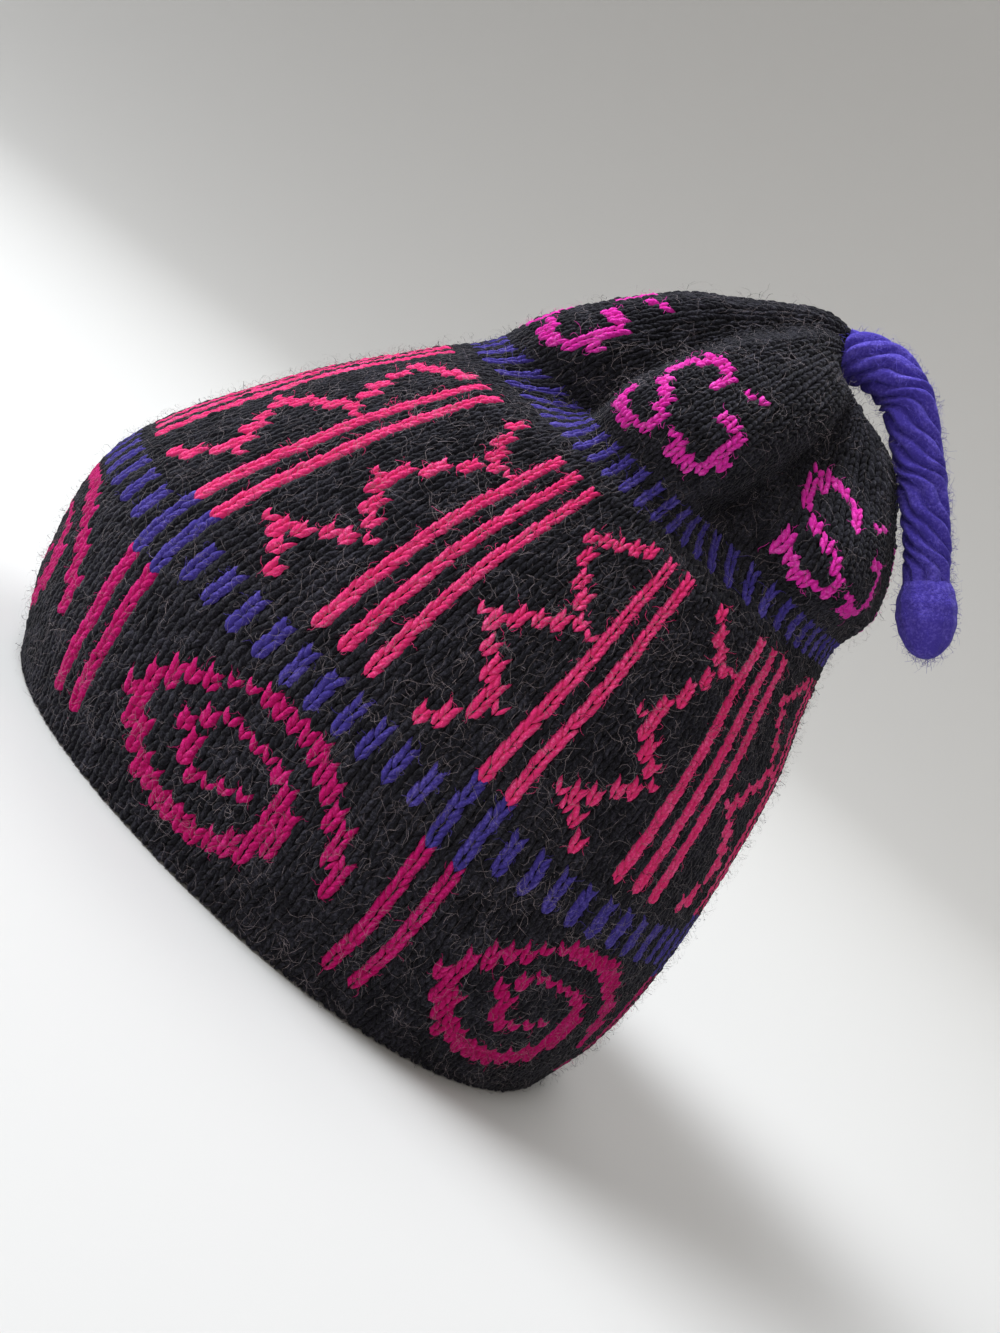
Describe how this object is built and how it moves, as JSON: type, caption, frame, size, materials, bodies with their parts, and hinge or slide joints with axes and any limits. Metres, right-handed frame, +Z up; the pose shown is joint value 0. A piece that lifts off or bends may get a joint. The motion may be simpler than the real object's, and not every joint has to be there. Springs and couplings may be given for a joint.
{
  "type": "knitted beanie",
  "caption": "Tall hollow knitted wool beanie with a patterned body, a crown drawn together into soft lobes, and a twisted cord with an end knob at the gather.",
  "frame": {"origin": "on the plane of the rim, under the middle of the knitted body's box", "axes": "+Z up, the front of the hat at -Y, the wearer's left at +X"},
  "size_m": [0.15, 0.2182, 0.2109],
  "materials": {
    "knit": "fuzzy knitted wool, black heather with pink, magenta and violet stitches",
    "cord": "soft twisted wool yarn, violet"
  },
  "bodies": {
    "root": {"knit_body": "knit", "crown_cord": "cord", "cord_knob": "cord"}
  },
  "joints": []
}
